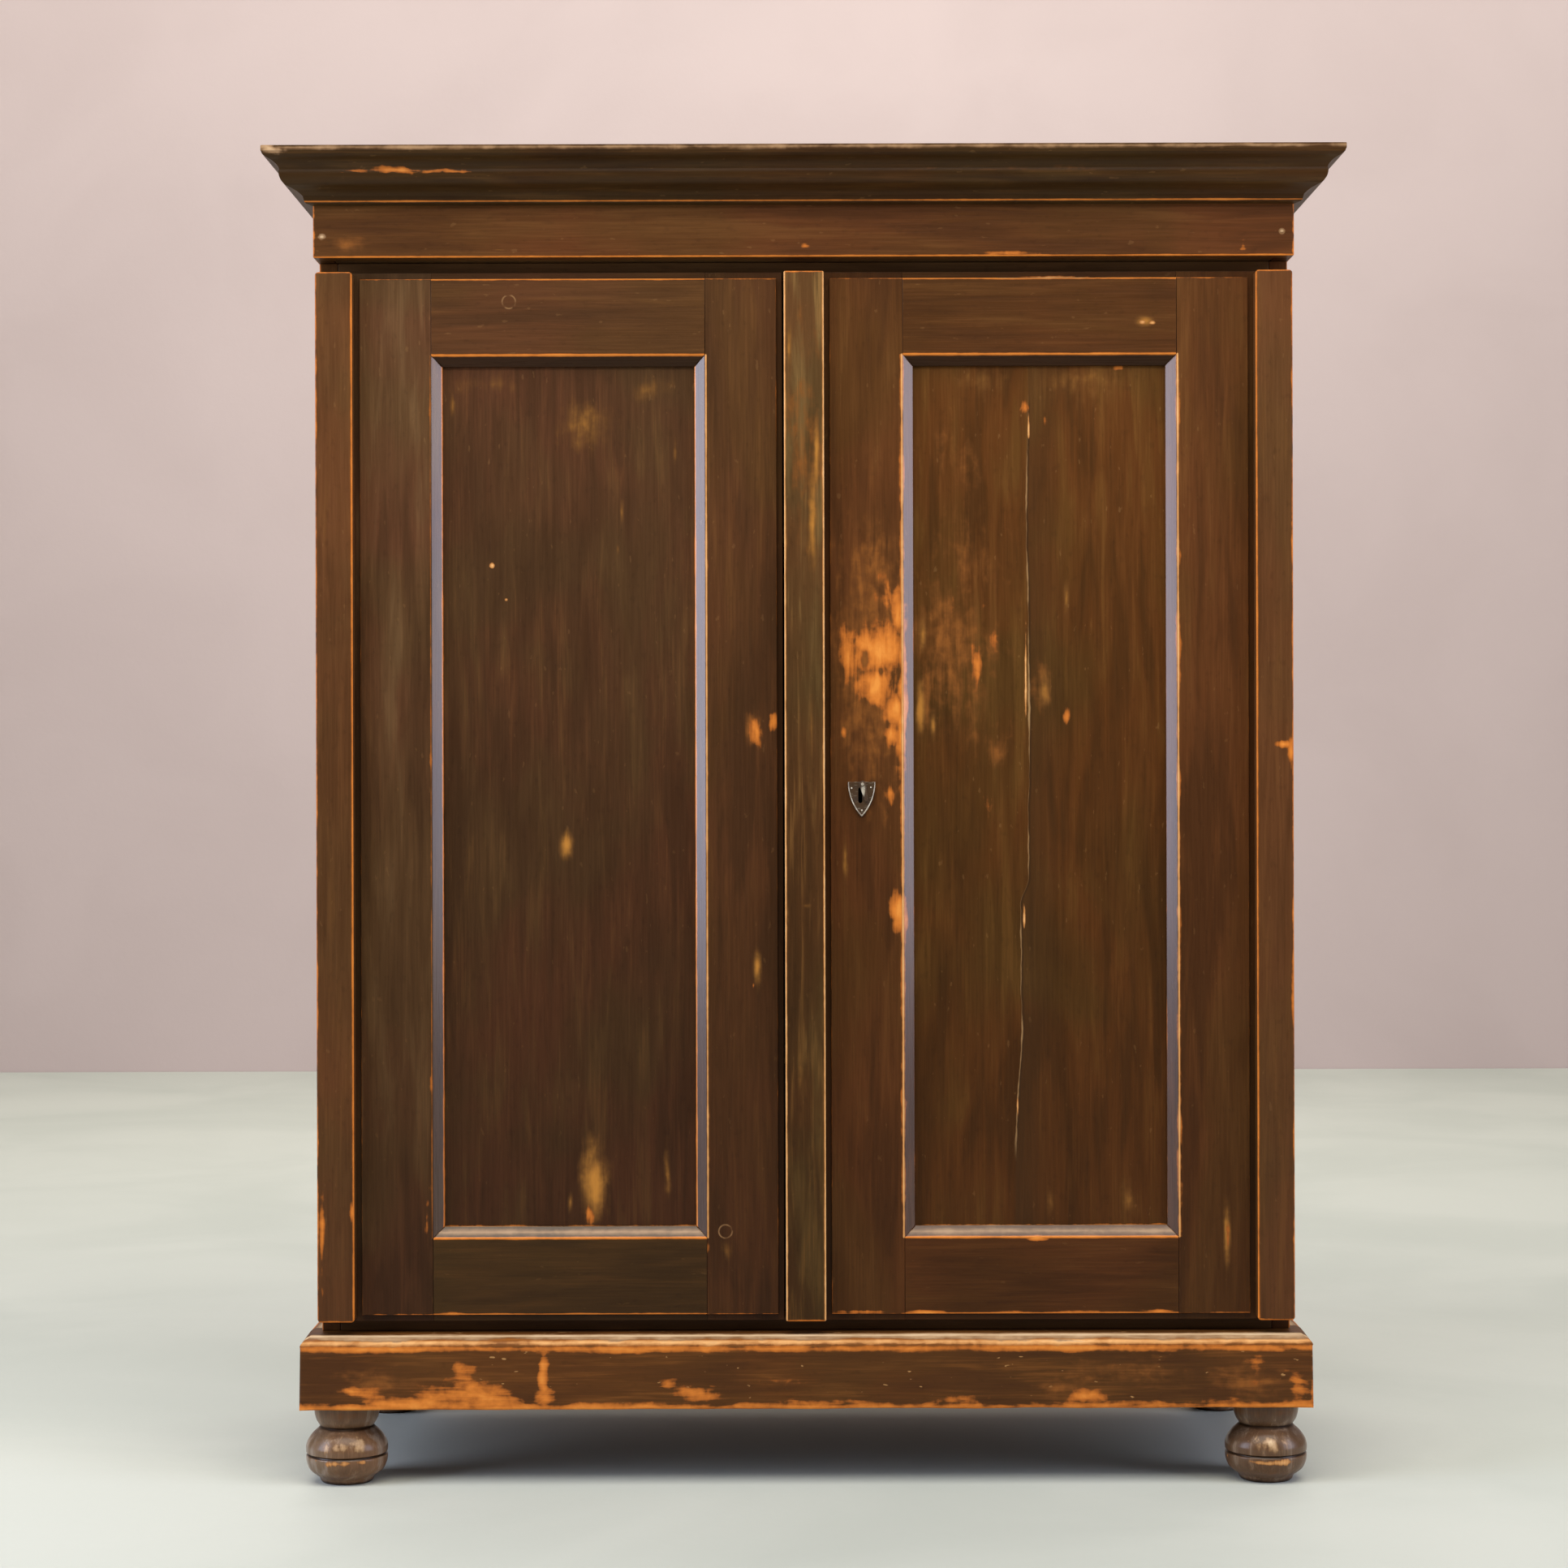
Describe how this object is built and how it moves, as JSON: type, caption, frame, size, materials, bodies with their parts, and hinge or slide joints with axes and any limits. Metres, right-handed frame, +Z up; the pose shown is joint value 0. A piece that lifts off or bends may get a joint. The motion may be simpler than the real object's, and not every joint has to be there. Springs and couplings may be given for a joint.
{
  "type": "linen cupboard",
  "caption": "Low wide linen cupboard: framed panel doors with battens and a centre strip, moulded cornice, heavy plinth on turned bun feet, shelves inside.",
  "frame": {"origin": "on the floor, at the middle of the cupboard's outer box", "axes": "+Z up, front towards -Y, +X to the right of someone facing the front"},
  "size_m": [1.2814, 0.5638, 1.5934],
  "materials": {
    "frame_wood": "dark brown oil and wax finish, worn through to orange brown at the edges",
    "panel_wood": "dark brown oil and wax finish, streaked and slightly hazy",
    "batten_wood": "dark brown finish rubbed to a bronze sheen, edges worn light",
    "plinth_wood": "brown finish, heavily rubbed to orange along the top edge",
    "foot_wood": "brown finish with a soft shine and scratches",
    "cornice_wood": "very dark brown finish, olive tan on the worn top fillet",
    "inside_wood": "unfinished softwood, darkened with age",
    "dark_iron": "dark wrought iron, lightly rubbed",
    "aged_brass": "darkened brass with bright worn rims"
  },
  "bodies": {
    "carcass": {"foot_front_left": "foot_wood", "foot_front_right": "foot_wood", "foot_back_left": "foot_wood", "foot_back_right": "foot_wood", "plinth_front": "plinth_wood", "plinth_left": "plinth_wood", "plinth_right": "plinth_wood", "plinth_back": "inside_wood", "side_left": "frame_wood", "side_right": "frame_wood", "bottom_board": "frame_wood", "top_board": "frame_wood", "back_plank_1": "inside_wood", "back_plank_2": "inside_wood", "back_plank_3": "inside_wood", "shelf_lower": "inside_wood", "shelf_middle": "inside_wood", "shelf_upper": "inside_wood", "frieze_front": "frame_wood", "frieze_left": "frame_wood", "frieze_right": "frame_wood", "soffit_board": "inside_wood", "dust_board": "inside_wood", "cornice_front": "cornice_wood", "cornice_left": "cornice_wood", "cornice_right": "cornice_wood", "hinge_left_lower_carcass_leaf": "dark_iron", "hinge_left_lower_pin": "dark_iron", "hinge_left_upper_carcass_leaf": "dark_iron", "hinge_left_upper_pin": "dark_iron", "hinge_right_lower_carcass_leaf": "dark_iron", "hinge_right_lower_pin": "dark_iron", "hinge_right_upper_carcass_leaf": "dark_iron", "hinge_right_upper_pin": "dark_iron"},
    "left_door": {"left_door_hinge_stile": "frame_wood", "left_door_meeting_stile": "frame_wood", "left_door_top_rail": "frame_wood", "left_door_bottom_rail": "frame_wood", "left_door_panel": "panel_wood", "left_door_batten": "batten_wood", "hinge_left_lower_door_leaf": "dark_iron", "hinge_left_upper_door_leaf": "dark_iron", "lock_keeper": "dark_iron", "top_bolt_plate": "dark_iron", "bottom_bolt_plate": "dark_iron"},
    "right_door": {"right_door_hinge_stile": "frame_wood", "right_door_meeting_stile": "frame_wood", "right_door_top_rail": "frame_wood", "right_door_bottom_rail": "frame_wood", "right_door_panel": "panel_wood", "right_door_batten": "batten_wood", "hinge_right_lower_door_leaf": "dark_iron", "hinge_right_upper_door_leaf": "dark_iron", "centre_strip": "batten_wood", "escutcheon": "aged_brass", "lock_case": "dark_iron"},
    "lock_bolt": {"lock_bolt": "dark_iron"},
    "keyhole_cover": {"keyhole_cover": "aged_brass"},
    "top_bolt": {"top_bolt_bar": "dark_iron"},
    "bottom_bolt": {"bottom_bolt_bar": "dark_iron"}
  },
  "joints": [
    {"name": "left_door_swing", "type": "hinge", "parent": "carcass", "child": "left_door", "pos_m": [-0.5856, -0.18865, 0.1933], "axis": [0, 0, -1], "range_deg": [0, 175]},
    {"name": "right_door_swing", "type": "hinge", "parent": "carcass", "child": "right_door", "pos_m": [0.5856, -0.18865, 0.1933], "axis": [0, 0, 1], "range_deg": [0, 175]},
    {"name": "lock_bolt_slide", "type": "slide", "parent": "right_door", "child": "lock_bolt", "axis": [-1, 0, 0], "range_m": [0, 0.016]},
    {"name": "keyhole_cover_swing", "type": "hinge", "parent": "right_door", "child": "keyhole_cover", "pos_m": [0.0692, -0.21665, 0.8376], "axis": [0, 1, 0], "range_deg": [-77, 103]},
    {"name": "top_bolt_slide", "type": "slide", "parent": "left_door", "child": "top_bolt", "axis": [0, 0, 1], "range_m": [0, 0.015]},
    {"name": "bottom_bolt_slide", "type": "slide", "parent": "left_door", "child": "bottom_bolt", "axis": [0, 0, -1], "range_m": [0, 0.015]}
  ]
}
